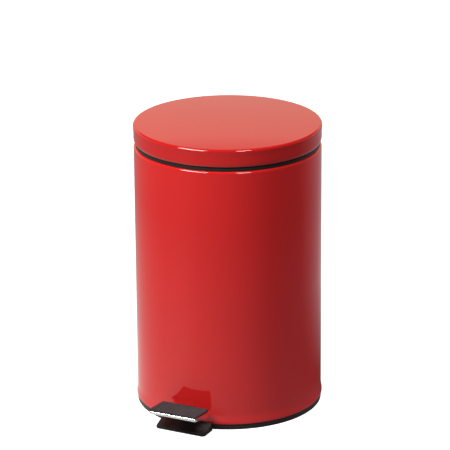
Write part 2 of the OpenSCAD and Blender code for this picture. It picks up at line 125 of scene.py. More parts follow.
def spaced(outline, longest):
    """Keeps every point and adds even ones between, so that no step is longer than `longest`."""
    p = np.asarray(outline, float)
    length = np.linalg.norm(np.diff(p, axis=0), axis=1)
    count = np.maximum(1, np.ceil(length / longest)).astype(int)
    s = np.concatenate(([0], np.cumsum(length)))
    spans = [np.linspace(s[i], s[i + 1], c, endpoint=False) for i, c in enumerate(count)]
    at = np.concatenate((*spans, s[-1:]))
    return np.column_stack((np.interp(at, s, p[:, 0]), np.interp(at, s, p[:, 1])))


# %% [markdown]
# ## From numbers to a mesh
# A mesh here is a pair: an array of points and a list of faces, each a tuple of point numbers. The
# sign of a closed mesh's volume tells whether its faces point outwards, so `outward` flips the ones
# that don't. Faces that meet at more than a set angle keep a crisp edge, and the rest shade as one.


# %% Mesh helpers
def outward(points, faces):
    """Turns every face round if the sum of a . (b x c) over the faces' fans, six volumes, is negative."""
    fan = np.array([(f[0], f[i], f[i + 1]) for f in faces for i in range(1, len(f) - 1)])
    a, b, c = points[fan[:, 0]], points[fan[:, 1]], points[fan[:, 2]]
    volume = np.einsum("ij,ij->i", a, np.cross(b, c)).sum()
    return (points, faces) if volume > 0 else (points, [tuple(reversed(f)) for f in faces])


def joined(*meshes):
    """One mesh from several: points stacked, and face numbers raised by the count of points before."""
    points, faces, start = [], [], 0
    for mesh_points, mesh_faces in meshes:
        points.append(mesh_points)
        faces += [tuple(i + start for i in f) for f in mesh_faces]
        start += len(mesh_points)
    return np.vstack(points), faces


def welded(mesh):
    """Points that fall within a micron of each other become one, and faces lose the corners that met."""
    points, faces = mesh
    cell = np.round(points * 1e6).astype(int)
    _, first, number = np.unique(cell, axis=0, return_index=True, return_inverse=True)
    number = number.ravel()
    faces = [tuple(dict.fromkeys(number[list(f)].tolist())) for f in faces]
    return points[first], [f for f in faces if len(f) > 2]


def quads(rows, cols, wrap):
    """Faces of a grid of points stored row by row; wrap joins the last column to the first."""
    i, j = np.meshgrid(np.arange(rows - 1), np.arange(cols if wrap else cols - 1), indexing="ij")
    nxt = (j + 1) % cols
    return np.stack((i * cols + j, i * cols + nxt, (i + 1) * cols + nxt, (i + 1) * cols + j), -1)


FINISHES = {}
CRISP = 32


def piece(name, mesh, body, node, crisp=CRISP):
    """A mesh as a Blender object that rides on a body, in the finish of its node's material slot. It stands
    for that node, and keeps an edge crisp where its faces meet at more than `crisp` degrees."""
    points, faces = mesh
    data = bpy.data.meshes.new(name)
    data.from_pydata(np.asarray(points, float).tolist(), [], faces)
    data.validate()
    data.shade_smooth()
    data.set_sharp_from_angle(angle=np.radians(crisp))
    obj = bpy.data.objects.new(name, data)
    bpy.context.scene.collection.objects.link(obj)
    data.materials.append(FINISHES[slot_of[node]])
    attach(obj, body)
    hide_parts(node)
    print(f"{name}: {len(data.vertices)} points, {len(data.polygons)} faces")
    return obj


# %% [markdown]
# ## Turned sheet metal
# The body and the lid are thin sheets, each one outline turned round the can's axis. The sheet has an
# outer and an inner skin. Where a slot or a notch is cut, both skins lose those cells, and short
# walls join them round the hole, as a punched edge does. `keep` says which cells stay.


# %% A sheet with two skins
def sheet(outer, inner, keep, wrap, low_rim=True):
    """Two skins of points, rows x cols x 3. Every kept cell gives an outer face and a reversed inner face,
    and every edge between a kept cell and a missing one gives a wall from skin to skin. low_rim=False
    leaves out the wall along the first row, where the two halves of a folded sheet meet."""
    rows, cols = outer.shape[:2]
    cell = quads(rows, cols, wrap)
    n = rows * cols
    a, b, c, d = np.moveaxis(cell, -1, 0)
    below = np.vstack((np.full_like(keep[:1], not low_rim), keep[:-1]))
    above = np.vstack((keep[1:], np.zeros_like(keep[:1])))
    left, right = np.roll(keep, 1, 1), np.roll(keep, -1, 1)
    if not wrap:
        left[:, 0] = False
        right[:, -1] = False
    faces = [cell[keep], cell[keep][:, ::-1] + n]
    for p, q, neighbour in ((a, b, below), (c, d, above), (d, a, left), (b, c, right)):
        rim = keep & ~neighbour
        faces.append(np.stack((q[rim], p[rim], p[rim] + n, q[rim] + n), -1))
    points = np.vstack((outer.reshape(-1, 3), inner.reshape(-1, 3)))
    faces = np.vstack(faces)
    used, faces = np.unique(faces, return_inverse=True)
    return points[used], [tuple(f) for f in faces.reshape(-1, 4).tolist()]


def turn(outline, angles):
    """Point (r, z) at angle a goes to (r sin a, -r cos a, z). The pedal's side is at a = 0, and the hinge's
    at 180 degrees."""
    r, z = outline[:, 0][:, None], outline[:, 1][:, None]
    return np.stack((r * np.sin(angles), -r * np.cos(angles), z + 0 * angles), -1)


def ring_angles(count, exact=()):
    """Even angles round a turn. The ones near an exact angle, given in degrees, are swapped for it."""
    even = np.arange(count) * 2 * np.pi / count
    exact = np.sort(np.radians(exact) % (2 * np.pi))
    if not len(exact):
        return even
    gap = np.abs((even[:, None] - exact + np.pi) % (2 * np.pi) - np.pi).min(1)
    return np.sort(np.concatenate((even[gap > 0.45 * 2 * np.pi / count], exact)))


def within(angles, low, high):
    """True for each cell whose middle angle is between `low` and `high`, both in degrees."""
    nxt = np.roll(angles, -1)
    nxt[-1] += 2 * np.pi
    middle = np.degrees((angles + nxt) / 2)
    centre = (low + high) / 2
    return np.abs((middle - centre + 180) % 360 - 180) < (high - low) / 2


# %% [markdown]
# ## Swept solids
# Solid mouldings, wires and tubes are a closed outline carried along a path, with a flat face at each
# end unless the path closes on itself. Rivets, pins and screws are small outlines turned from pole to
# pole; each pole is one point, so the heads are closed.


# %% Sweeps and small turned solids
def swept_ring(outline, angles, closed):
    """A closed r-z outline turned through the given angles, capped at both ends if it doesn't close."""
    grid = turn(outline, angles)
    return swept_grid(np.swapaxes(grid, 0, 1), closed)


def swept_grid(grid, closed):
    """stations x outline points x 3: quads between neighbouring stations, and an end face at each end."""
    stations, around = grid.shape[:2]
    points = grid.reshape(-1, 3)
    faces = [tuple(f) for f in quads(stations, around, True).reshape(-1, 4).tolist()]
    if closed:
        last = (stations - 1) * around
        faces += [(last + i, last + (i + 1) % around, (i + 1) % around, i) for i in range(around)]
    else:
        faces.append(tuple(reversed(range(around))))
        faces.append(tuple(range((stations - 1) * around, stations * around)))
    return outward(points, faces)


def tube(path, radius, up, sides=20):
    """A round tube along a flat path. `up` is the plane's normal; at each point the ring is
    radius times (cos a times up + sin a times (tangent x up)). radius may change along the path."""
    path = np.asarray(path, float)
    tangent = np.gradient(path, axis=0)
    tangent /= np.linalg.norm(tangent, axis=1)[:, None]
    up = np.asarray(up, float)
    side = np.cross(tangent, up)
    a = np.arange(sides) * 2 * np.pi / sides
    radius = np.broadcast_to(radius, len(path))[:, None, None]
    ring = np.cos(a)[None, :, None] * up + np.sin(a)[None, :, None] * side[:, None]
    return swept_grid(path[:, None] + radius * ring, False)


def spun(outline, sides=32):
    """A turned solid. The outline's rows are (radius, height). Its first and last rows are the poles, where
    the radius is 0."""
    outline = np.asarray(outline, float)
    r, h = outline[1:-1].T
    a = np.arange(sides) * 2 * np.pi / sides
    rings = np.stack((np.outer(r, np.cos(a)), np.outer(r, np.sin(a)), np.outer(h, np.ones(sides))), -1)
    n = len(r) * sides
    points = np.vstack((rings.reshape(-1, 3), [(0, 0, outline[0, 1]), (0, 0, outline[-1, 1])]))
    faces = [tuple(f) for f in quads(len(r), sides, True).reshape(-1, 4).tolist()]
    faces += [(n, (j + 1) % sides, j) for j in range(sides)]
    faces += [(n + 1, n - sides + j, n - sides + (j + 1) % sides) for j in range(sides)]
    return outward(points, faces)


def placed(mesh, origin, axis):
    """The mesh with its own Z turned to a named axis or a direction, and then moved to origin."""
    named = {"X": (1, 0, 0), "Y": (0, 1, 0), "Z": (0, 0, 1)}
    turn_to = Vector(named[axis] if isinstance(axis, str) else axis)
    matrix = np.array(Vector((0, 0, 1)).rotation_difference(turn_to).to_matrix())
    return mesh[0] @ matrix.T + np.asarray(origin), mesh[1]


MERGE_WITHIN = 0.002 * MM
FLAT_WITHIN = np.radians(0.5)
BEVEL_OVER = np.radians(40)


def rounded_copy(node, width):
    """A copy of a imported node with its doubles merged, its flat faces made whole and its edges rounded."""
    source = frame["nodes"][node]
    data = source.data.copy()
    obj = bpy.data.objects.new(node + "_finished", data)
    bpy.context.scene.collection.objects.link(obj)
    work = bmesh.new()
    work.from_mesh(data)
    bmesh.ops.remove_doubles(work, verts=work.verts, dist=MERGE_WITHIN)
    bmesh.ops.dissolve_limit(
        work, angle_limit=FLAT_WITHIN, verts=work.verts, edges=work.edges, delimit={"NORMAL"}
    )
    work.to_mesh(data)
    work.free()
    data.materials.clear()
    data.materials.append(FINISHES[slot_of[node]])
    data.shade_smooth()
    data.set_sharp_from_angle(angle=np.radians(CRISP))
    bevel = obj.modifiers.new("eased edges", "BEVEL")
    bevel.width = width
    bevel.segments = 2
    bevel.limit_method = "ANGLE"
    bevel.angle_limit = BEVEL_OVER
    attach(obj, source["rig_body"])
    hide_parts(node)


# %% [markdown]
# ## Shared surface effects
# Paint, plastic, rubber and steel share a few effects: a fine grain, slow patches in the gloss, edges
# rubbed lighter, and dust on what faces up. Each effect is one node group with named inputs, made once
# and used by each finish with its own values. A group gives out only heights, masks, values and
# colours, so the finish itself keeps the shader and its fixed numbers.


# %% Node helpers
def add(tree, kind, sockets=None, **settings):
    """A node of that kind. An entry of sockets is linked if it is a socket, and else stored as a value."""
    made = tree.nodes.new(kind)
    for key, value in settings.items():
        setattr(made, key, value)
    for key, value in (sockets or {}).items():
        if isinstance(value, bpy.types.NodeSocket):
            tree.links.new(value, made.inputs[key])
        else:
            made.inputs[key].default_value = value
    return made


def math_node(tree, operation, *values):
    """The output of a Math node on one, two or three values or sockets."""
    return add(tree, "ShaderNodeMath", dict(enumerate(values)), operation=operation).outputs[0]


def remap(tree, value, low, high, to_low, to_high):
    """value from low..high to to_low..to_high, held at both ends."""
    sockets = {"Value": value, "From Min": low, "From Max": high, "To Min": to_low, "To Max": to_high}
    return add(tree, "ShaderNodeMapRange", sockets).outputs[0]


def noise(tree, vector, scale, detail=2.0, roughness=0.5):
    """A noise value from 0 to 1. scale is in waves per metre."""
    sockets = {"Vector": vector, "Scale": scale, "Detail": detail, "Roughness": roughness}
    return add(tree, "ShaderNodeTexNoise", sockets).outputs["Fac"]


def effect(name, inputs, outputs):
    """An empty node group with the given inputs (name: value) and float outputs, and its two end nodes."""
    group = bpy.data.node_groups.new(name, "ShaderNodeTree")
    for label, value in inputs.items():
        kind = "NodeSocketColor" if isinstance(value, tuple) else "NodeSocketFloat"
        group.interface.new_socket(label, in_out="INPUT", socket_type=kind).default_value = value
    for label in outputs:
        kind = "NodeSocketColor" if label == "Colour" else "NodeSocketFloat"
        group.interface.new_socket(label, in_out="OUTPUT", socket_type=kind)
    return group, group.nodes.new("NodeGroupInput").outputs, group.nodes.new("NodeGroupOutput")


# %% [markdown]
# Grain is the texture of a mould or the faint ripple of sprayed paint. Two sizes of noise make it, so
# that it doesn't look like one repeated wave.

# %% Grain
grain, given, out = effect("grain", {"Waves per metre": 900.0, "Fine share": 0.35}, ["Height"])
place = add(grain, "ShaderNodeTexCoord").outputs["Object"]
coarse = noise(grain, place, given[0], 2.0)
fine = noise(grain, place, math_node(grain, "MULTIPLY", given[0], 2.7), 1.0)
grain.links.new(
    add(grain, "ShaderNodeMix", {"Factor": given[1], "A": coarse, "B": fine}).outputs[0], out.inputs[0]
)
print("effect:", grain.name)

# %% [markdown]
# Handling leaves a gloss that is a little uneven. The patches are a few centimetres across, with finer
# streaks inside them, and they move the roughness between a low and a high value.

# %% Uneven gloss
gloss, given, out = effect(
    "uneven gloss", {"Low": 0.1, "High": 0.2, "Patches per metre": 14.0, "Stretch": 1.0}, ["Roughness"]
)
place = add(gloss, "ShaderNodeTexCoord").outputs["Object"]
drawn = add(gloss, "ShaderNodeCombineXYZ", {0: 1.0, 1: 1.0, 2: given[3]}).outputs[0]
place = add(gloss, "ShaderNodeVectorMath", {0: place, 1: drawn}, operation="MULTIPLY").outputs[0]
patch = noise(gloss, place, given[2], 4.0, 0.55)
gloss.links.new(remap(gloss, patch, 0.32, 0.68, given[0], given[1]), out.inputs[0])
print("effect:", gloss.name)

# %% [markdown]
# Corners get rubbed first. Cycles knows how sharply a surface bends outwards at each point, and the
# mask takes the sharp places, broken up by noise so that the rubbing isn't an even line.

# %% Edge wear
wear, given, out = effect("edge wear", {"Amount": 0.4, "Breaks per metre": 160.0}, ["Mask"])
bend = remap(wear, add(wear, "ShaderNodeNewGeometry").outputs["Pointiness"], 0.53, 0.64, 0.0, 1.0)
place = add(wear, "ShaderNodeTexCoord").outputs["Object"]
broken = remap(wear, noise(wear, place, given[1], 3.0), 0.38, 0.62, 0.15, 1.0)
mask = math_node(wear, "MULTIPLY", math_node(wear, "MULTIPLY", bend, broken), given[0])
wear.links.new(mask, out.inputs[0])
print("effect:", wear.name)

# %% [markdown]
# Dust settles on faces that look up, and a floor-standing object also picks it up near the floor.

# %% Dust
dust, given, out = effect(
    "dust", {"Colour": (0.5, 0.5, 0.5, 1), "Amount": 0.1, "Dust": (0.42, 0.38, 0.34, 1)}, ["Colour", "Mask"]
)
coords = add(dust, "ShaderNodeTexCoord")
facing = add(dust, "ShaderNodeSeparateXYZ", {0: coords.outputs["Normal"]}).outputs[2]
height = add(dust, "ShaderNodeSeparateXYZ", {0: coords.outputs["Object"]}).outputs[2]
settled = remap(dust, facing, 0.3, 1.0, 0.0, 0.7)
scuffed = remap(dust, height, 0.0, 0.05, 0.5, 0.0)
speckle = remap(dust, noise(dust, coords.outputs["Object"], 120.0, 5.0, 0.65), 0.42, 0.72, 0.1, 1.0)
both = math_node(dust, "ADD", settled, scuffed)
mask = math_node(dust, "MULTIPLY", math_node(dust, "MULTIPLY", both, speckle), given[1])
tinted = add(dust, "ShaderNodeMix", {0: mask, 6: given[0], 7: given[2]}, data_type="RGBA").outputs[2]
dust.links.new(tinted, out.inputs[0])
dust.links.new(mask, out.inputs[1])
print("effect:", dust.name)

# %% [markdown]
# ## Finishes
# One builder makes every finish from the same four effects. The differences are in the values: paint
# is glossy with a slow ripple, moulded plastic has a fine grain, and metals reflect with their own
# colour. Zinc plating and sintered bronze add a crystal or pore pattern to the colour.


# %% Finish builder
def finish(name, colour, edge, metal, gloss_range, patches, waves, depth, worn, dusty, tone, **fixed):
    """A Principled finish. Its colour drifts by `tone`, and goes towards `edge` where worn and towards grey
    where dusty. Its roughness wanders in gloss_range, and the grain is `depth` metres high. `fixed` may
    hold stretch and drift_scale, for drawn-out and finer patches; the rest goes on the shader's sockets."""
    made = bpy.data.materials.new(name)
    made.use_nodes = True
    tree = made.node_tree
    tree.nodes.clear()
    stretch = fixed.pop("stretch", 1.0)
    place = add(tree, "ShaderNodeTexCoord").outputs["Object"]
    drift = remap(tree, noise(tree, place, fixed.pop("drift_scale", 9.0), 3.0), 0.3, 0.7, -tone, tone)
    drift = math_node(tree, "ADD", drift, 1.0)
    hue = add(tree, "ShaderNodeHueSaturation", {"Value": drift, "Color": (*colour, 1)}).outputs[0]
    rub = add(tree, "ShaderNodeGroup", {"Amount": worn}, node_tree=wear)
    rubbed = add(tree, "ShaderNodeMix", {0: rub.outputs[0], 6: hue, 7: (*edge, 1)}, data_type="RGBA")
    film = add(tree, "ShaderNodeGroup", {"Amount": dusty, "Colour": rubbed.outputs[2]}, node_tree=dust)
    low, high = gloss_range
    spread = {"Low": low, "High": high, "Patches per metre": patches, "Stretch": stretch}
    shine = add(tree, "ShaderNodeGroup", spread, node_tree=gloss)
    dulled = math_node(tree, "MULTIPLY_ADD", film.outputs["Mask"], 0.5, shine.outputs[0])
    rough = math_node(tree, "MULTIPLY_ADD", rub.outputs[0], 0.15, dulled)
    texture = add(tree, "ShaderNodeGroup", {"Waves per metre": waves}, node_tree=grain)
    bump = add(tree, "ShaderNodeBump", {"Strength": 1.0, "Distance": depth, "Height": texture.outputs[0]})
    sockets = {"Base Color": film.outputs["Colour"], "Roughness": rough, "Metallic": metal}
    sockets |= {"Normal": bump.outputs[0], **fixed}
    shader = add(tree, "ShaderNodeBsdfPrincipled", sockets)
    add(tree, "ShaderNodeOutputMaterial", {"Surface": shader.outputs[0]})
    FINISHES[name] = made
    print("finish:", name)


# %% [markdown]
# The can is powder-coated deep red: full gloss, with the slight ripple that the powder leaves as it
# flows out in the oven, and a touch lighter where a folded edge is rubbed. The lid gets a darker copy
# of the body's red: painted shade that stands for the darker look the lid has in this light. Why it
# looks so isn't known.

# %% Red paint
finish(
    "red_paint", (0.47, 0.0095, 0.0095), (0.55, 0.06, 0.05), 0.0, (0.030, 0.06), 11.0, 260.0,
    0.000004, 0.25, 0.012, tone=0.02, IOR=1.5,
)
# A darker copy of the red paint for the lid: painted shade, not a different paint.
finish(
    "lid_paint_painted_shade", (0.395, 0.0080, 0.0080), (0.50, 0.05, 0.045), 0.0, (0.030, 0.06), 11.0, 260.0,
    0.000004, 0.25, 0.016, tone=0.02, IOR=1.5,
)

# %% [markdown]
# The base ring, the foot, the rim ring and the small mouldings are black polypropylene or ABS from a
# lightly textured mould. The bucket is a softer, greyer plastic with a coarser texture.

# %% Plastics
finish(
    "black_plastic", (0.0165, 0.0135, 0.0130), (0.05, 0.045, 0.043), 0.0, (0.34, 0.46), 22.0, 1500.0,
    0.00002, 0.5, 0.03, tone=0.10, IOR=1.46, **{"Specular IOR Level": 0.22},
)
finish(
    "bucket_plastic", (0.030, 0.030, 0.033), (0.08, 0.08, 0.085), 0.0, (0.36, 0.50), 18.0, 1100.0,
    0.00004, 0.5, 0.05, tone=0.10, IOR=1.5,
)

# %% [markdown]
# The pedal's pad is black rubber: it is matt, it has a fine skin, and the ribs' tops wear grey.

# %% Rubber
finish(
    "rubber", (0.024, 0.0175, 0.0195), (0.06, 0.052, 0.052), 0.0, (0.50, 0.64), 40.0, 2200.0,
    0.00003, 0.6, 0.04, tone=0.14, IOR=1.5, **{"Specular IOR Level": 0.3},
)

# %% [markdown]
# The pedal's tray is chromed. The hinge parts and the lever are zinc-plated, which is duller and has a
# faint pattern. Pins, rivets and wire are bright steel with marks drawn along them, and the pivot's
# bush is sintered bronze.

# %% Metals
finish(
    "chrome", (0.80, 0.80, 0.82), (0.86, 0.86, 0.87), 1.0, (0.10, 0.18), 30.0, 500.0,
    0.000004, 0.3, 0.02, tone=0.03, drift_scale=40.0,
)
finish(
    "zinc_steel", (0.56, 0.57, 0.59), (0.72, 0.72, 0.73), 1.0, (0.26, 0.42), 60.0, 700.0,
    0.00001, 0.5, 0.06, tone=0.12, drift_scale=130.0,
)
finish(
    "bright_steel", (0.66, 0.66, 0.67), (0.80, 0.80, 0.80), 1.0, (0.14, 0.28), 240.0, 1200.0,
    0.000006, 0.4, 0.03, tone=0.06, stretch=0.08, drift_scale=60.0,
)
finish(
    "bronze", (0.52, 0.33, 0.14), (0.66, 0.46, 0.22), 1.0, (0.28, 0.44), 300.0, 3200.0,
    0.00003, 0.4, 0.04, tone=0.20, drift_scale=900.0,
)

# %% [markdown]
# ## The body
# The real body is sheet steel rolled into a tube and seam-welded at the back. Its foot flares and is
# curled under, its top is turned in to a flange, and a slot is punched for the pedal's lever. Here the
# outline's outer side and inner side are two lists of points in step with each other, so one call
# makes both skins. The seam stands a tenth of a millimetre proud.


# %% Body shell
FLARE = 1.5 * MM
FOOT_Z = 8.7 * MM
FOOT_R = 1.1 * MM
SHOULDER_R = 3.5 * MM
MOUTH_R = CAN_R - 5.2 * MM
SEAM_AT = 166.0
SLOT_Z = (15 * MM, 35 * MM)
SLOT_HALF = np.degrees(np.arcsin(14 * MM / CAN_R))
SEAM_HALF, SEAM_H = 0.35, 0.12 * MM
GAP_BACK = (
    180 - np.degrees(np.arcsin(13.5 * MM / MOUTH_R)),
    180 + np.degrees(np.arcsin(6.5 * MM / MOUTH_R)),
)
FLARE_TOP = 24 * MM
WALL_LOW = 45 * MM


def body_outline(side):
    """One side of the body's sheet: 0 for the outer, 1 for the inner. The rows of both sides match. Towards
    the foot the wall flares by FLARE t^2 (3 - 2 t), with t going from 0 to 1 over the lowest stretch."""
    radius = CAN_R - side * SHEET
    foot_r = CAN_R + FLARE - FOOT_R
    foot = arc((foot_r, FOOT_Z + FOOT_R), FOOT_R, -90, 0 if side == 0 else -172, 9)
    slot_rows = np.linspace(SLOT_Z[0], SLOT_Z[1], 8)
    wall_top = BODY_TOP - SHOULDER_R
    low_rows = np.linspace(FOOT_Z + 2 * FOOT_R, SLOT_Z[0], 7)[:-1]
    high_rows = np.linspace(WALL_LOW, wall_top - 6 * MM, 19)
    wall_z = np.hstack((low_rows, slot_rows, high_rows, wall_top - 1 * MM))
    t = np.clip((FLARE_TOP - wall_z) / (FLARE_TOP - FOOT_Z - 2 * FOOT_R), 0, 1)
    wall = np.column_stack((radius + FLARE * t**2 * (3 - 2 * t), wall_z))
    shoulder = arc((CAN_R - SHOULDER_R, wall_top), SHOULDER_R - side * SHEET, 0, 90, 14)
    flange_r = np.linspace(CAN_R - SHOULDER_R, MOUTH_R, 4)[1:]
    flange = np.column_stack((flange_r, np.full(3, BODY_TOP - side * SHEET)))
    return np.vstack((foot, wall, shoulder, flange))


seam_angles = SEAM_AT + np.linspace(-1.2, 1.2, 13)
angles = ring_angles(320, np.hstack((-SLOT_HALF, SLOT_HALF, GAP_BACK, seam_angles)))
outer, inner = turn(body_outline(0), angles), turn(body_outline(1), angles)
rows_r, rows_z = ((body_outline(0)[1:] + body_outline(0)[:-1]) / 2).T
slot = ((rows_z > SLOT_Z[0]) & (rows_z < SLOT_Z[1]))[:, None] & within(angles, -SLOT_HALF, SLOT_HALF)
gap_rows = (rows_z > BODY_TOP - 1 * MM) & (rows_r < CAN_R - 3 * MM)
back_gap = gap_rows[:, None] & within(angles, *GAP_BACK)
on_wall = (body_outline(0)[:, 1] > 20 * MM) & (body_outline(0)[:, 1] < BODY_TOP - SHOULDER_R)
off_seam = (np.degrees(angles) - SEAM_AT) / SEAM_HALF
outer[..., :2] *= 1 + (SEAM_H / CAN_R) * (on_wall[:, None] * np.exp(-(off_seam**2)))[..., None]
piece("body_skin", sheet(outer, inner, ~(slot | back_gap), True), "can", "body_shell")

# %% [markdown]
# ## The lid
# The lid is pressed from one disc of sheet: a shallow crown, a round edge that stands a little proud,
# and a skirt whose foot is curled in. The crown is part of a large circle, so its height falls with the
# square of the distance from the middle. At the back the skirt is notched for the crank.


# %% Lid shell
LID_EDGE = 4 * MM
SKIRT_IN = 0.6 * MM
SKIRT_WIDENS = 7 * MM
CURL_R = 13 * MM
CURL_TURN = 27
NOTCH_TOP = LID_Z0 + 12 * MM
NOTCH_HALF = np.degrees(np.arcsin(4 * MM / LID_R))


def lid_outline(side):
    """One side of the lid's sheet: the curled foot, the skirt, the edge, and the crown to the middle. The
    crown rises by sqrt(R^2 - r^2) - sqrt(R^2 - flat^2), and the skirt's top widens by 3 t^2 - 2 t^3."""
    skirt_r = LID_R - SKIRT_IN
    turn_z = LID_Z0 + 0.6 * MM + CURL_R * np.sin(np.radians(CURL_TURN))
    curl = arc((skirt_r - CURL_R, turn_z), CURL_R - side * SHEET, -CURL_TURN, 0, 14)
    skirt_top = LID_EDGE_Z - LID_EDGE
    above_notch = np.linspace(NOTCH_TOP + 2 * MM, skirt_top - 0.4 * MM, 9)
    skirt_z = np.hstack((turn_z + 0.6 * MM, NOTCH_TOP, above_notch))
    t = np.clip((skirt_z - (skirt_top - SKIRT_WIDENS)) / SKIRT_WIDENS, 0, 1)
    skirt = np.column_stack((skirt_r - side * SHEET + SKIRT_IN * t**2 * (3 - 2 * t), skirt_z))
    flat_r = LID_R - LID_EDGE
    edge = arc((flat_r, skirt_top), LID_EDGE - side * SHEET, 0, 90, 18)
    crown_r = (flat_r**2 + CROWN**2) / (2 * CROWN)
    r = flat_r * (1 - np.linspace(0, 1, 26)[1:] ** 1.3)
    rise = np.sqrt(crown_r**2 - r**2) - np.sqrt(crown_r**2 - flat_r**2)
    lip = arc((skirt_r - CURL_R, turn_z), CURL_R - 0.5 * SHEET, -CURL_TURN - 2.4, -CURL_TURN - 2.4, 1)
    return np.vstack((lip, curl, skirt, edge, np.column_stack((r, LID_EDGE_Z - side * SHEET + rise))))


angles = ring_angles(320, (180 - NOTCH_HALF, 180 + NOTCH_HALF))
rows_z = (lid_outline(0)[1:, 1] + lid_outline(0)[:-1, 1]) / 2
notch = (rows_z < NOTCH_TOP)[:, None] & within(angles, 180 - NOTCH_HALF, 180 + NOTCH_HALF)
lid = sheet(turn(lid_outline(0), angles), turn(lid_outline(1), angles), ~notch, True)
lid_skin = piece("lid_skin", welded(lid), "lid", "lid_shell")
# The lid takes the darker copy of the red paint, which is painted shade.
lid_skin.data.materials[0] = FINISHES["lid_paint_painted_shade"]

# %% [markdown]
# ## The rim ring
# A black plastic ring sits in the body's mouth. Its outer band fills the gap under the lid, its lip
# stands up inside the lid, and its spigot hangs inside the body. It is moulded, so every corner is
# eased. It stops short of the hinge on both sides, where the crank and the rod pass.


# %% Rim ring
def rim_outline():
    """The ring's closed r-z outline: band, floor, upright lip and spigot, with their corners eased."""
    band, lip, lip_in = CAN_R - 2.8 * MM, CAN_R - 6.7 * MM, CAN_R - 9.5 * MM
    spigot, seat = MOUTH_R - 2.4 * MM, BODY_TOP + 0.2 * MM
    corners = [
        (spigot, BODY_TOP - 16 * MM), (spigot + 2 * MM, BODY_TOP - 16 * MM), (spigot + 2 * MM, seat),
        (band, seat), (band, seat + 5.5 * MM), (band - 2 * MM, seat + 5.5 * MM),
        (band - 2 * MM, seat + 2 * MM), (lip, seat + 2 * MM), (lip, LID_EDGE_Z - 9 * MM),
        (lip_in, LID_EDGE_Z - 9 * MM), (lip_in, seat), (spigot, seat),
    ]
    return eased(corners, 0.5 * MM)


ends = 180 + np.degrees(np.arcsin(7.5 * MM / MOUTH_R)), 540 - np.degrees(np.arcsin(14.5 * MM / MOUTH_R))
angles = np.radians(np.linspace(*ends, 300))
piece("rim_moulding", swept_ring(rim_outline(), angles, False), "can", "rim_ring")

# %% [markdown]
# ## The bucket
# The bucket that lifts out is moulded plastic. Its wall tapers so that it leaves the mould, its rim is
# a flat flange, and its floor is raised on a foot ring. Small bosses hold the wire handle's ends, and
# two rests hold the handle when it is down. The turned wall is one outline from the floor's middle
# underneath, round the rim, back to the middle inside.


# %% Bucket
BUCKET_R = 127.6 * MM
REST_IN, REST_OUT = 117 * MM, 128 * MM
REST_LOW, REST_HIGH = BAIL_Z - 6 * MM, BAIL_Z - 2.4 * MM


def bucket_outline():
    """The bucket's r-z outline from pole to pole, with eased corners and steps of 15 mm at most."""
    low, rim_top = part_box("inner_bucket")[0].z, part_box("inner_bucket")[1].z
    top_r = BUCKET_R
    foot_r = top_r - 7.6 * MM
    corners = [
        (0, low + 5 * MM), (foot_r - 8 * MM, low + 5 * MM), (foot_r - 5 * MM, low), (foot_r, low),
        (foot_r + 2 * MM, low + 3 * MM), (top_r, rim_top - 3 * MM), (top_r + 3.4 * MM, rim_top - 3 * MM),
        (top_r + 3.4 * MM, rim_top), (top_r - 2 * MM, rim_top), (foot_r, low + 7 * MM), (0, low + 7 * MM),
    ]
    return spaced(eased(corners, 0.9 * MM, closed=False), 15 * MM)


bucket = [spun(bucket_outline(), 240)]
boss = MM * np.array([
    (0, -1.6), (3.7, -1.6), (3.9, -1.3), (3.9, 1.0), (3.5, 1.4),
    (2.3, 1.4), (2.1, 1.1), (2.1, 0.2), (0, 0.2),
])
for side in (-1, 1):
    bucket.append(placed(spun(boss, 40), (side * (BUCKET_R + 0.2 * MM), 0, BAIL_Z), (side, 0, 0)))
rest = eased(
    [(REST_IN, REST_LOW), (REST_OUT, REST_LOW), (REST_OUT, REST_HIGH), (REST_IN, REST_HIGH)], 0.6 * MM
)
for at in (-35.0, 35.0):
    bucket.append(swept_ring(rest, np.radians(np.linspace(at - 2, at + 2, 5)), False))
piece("bucket_moulding", joined(*bucket), "can", "inner_bucket")

# %% [markdown]
# The handle is a half circle of drawn wire whose ends turn out into the bosses. A moulded grip with
# finger ridges sits at its middle. Both are tubes: a ring of points carried along a flat path, with a
# radius that may change on the way.

# %% Bucket handle
WIRE_R = 2 * MM
WIRE_TIP_R = 1.5 * MM
ARC_R = 119 * MM
GRIP_R = 4.5 * MM
GRIP_HALF = 23
GRIP_RIDGES = 11
half = arc((0, 0), ARC_R, 180, 360, 97)
bend = [(-ARC_R - 11.2 * MM, 0), (-ARC_R, 0), tuple(half[1])]
left = spaced(eased(bend, 3.2 * MM, 7, closed=False)[:-1], 4 * MM)
path = np.vstack((left, half[2:-2], (left * (-1, 1))[::-1]))
path = np.column_stack((path, np.full(len(path), BAIL_Z)))
thick = np.full(len(path), WIRE_R)
thick[[0, -1]] = WIRE_TIP_R
piece("handle_wire", tube(path, thick, (0, 0, 1), 18), "bail", "bucket_bail")

around = np.linspace(270 - GRIP_HALF, 270 + GRIP_HALF, 150)
along = np.radians(around - around[0]) * ARC_R
total = along[-1]
ridged = (along > 4 * MM) & (along < total - 4 * MM)
ridges = 0.30 * MM * (np.cos(2 * np.pi * along / total * GRIP_RIDGES) - 1) * ridged
ease_in = np.sqrt(np.clip(np.minimum(along, total - along) / (2 * MM), 0, 1) * 0.75 + 0.25)
path = np.column_stack((arc((0, 0), ARC_R, around[0], around[-1], 150), np.full(150, BAIL_Z)))
piece("handle_grip", tube(path, (GRIP_R + ridges) * ease_in, (0, 0, 1), 32), "bail", "bail_grip")

# %% [markdown]
# ## The push rod
# The rod is drawn wire, straight up the inside of the back wall, with its top bent over to pass
# through the crank. It is the same tube function on a path with one eased corner.

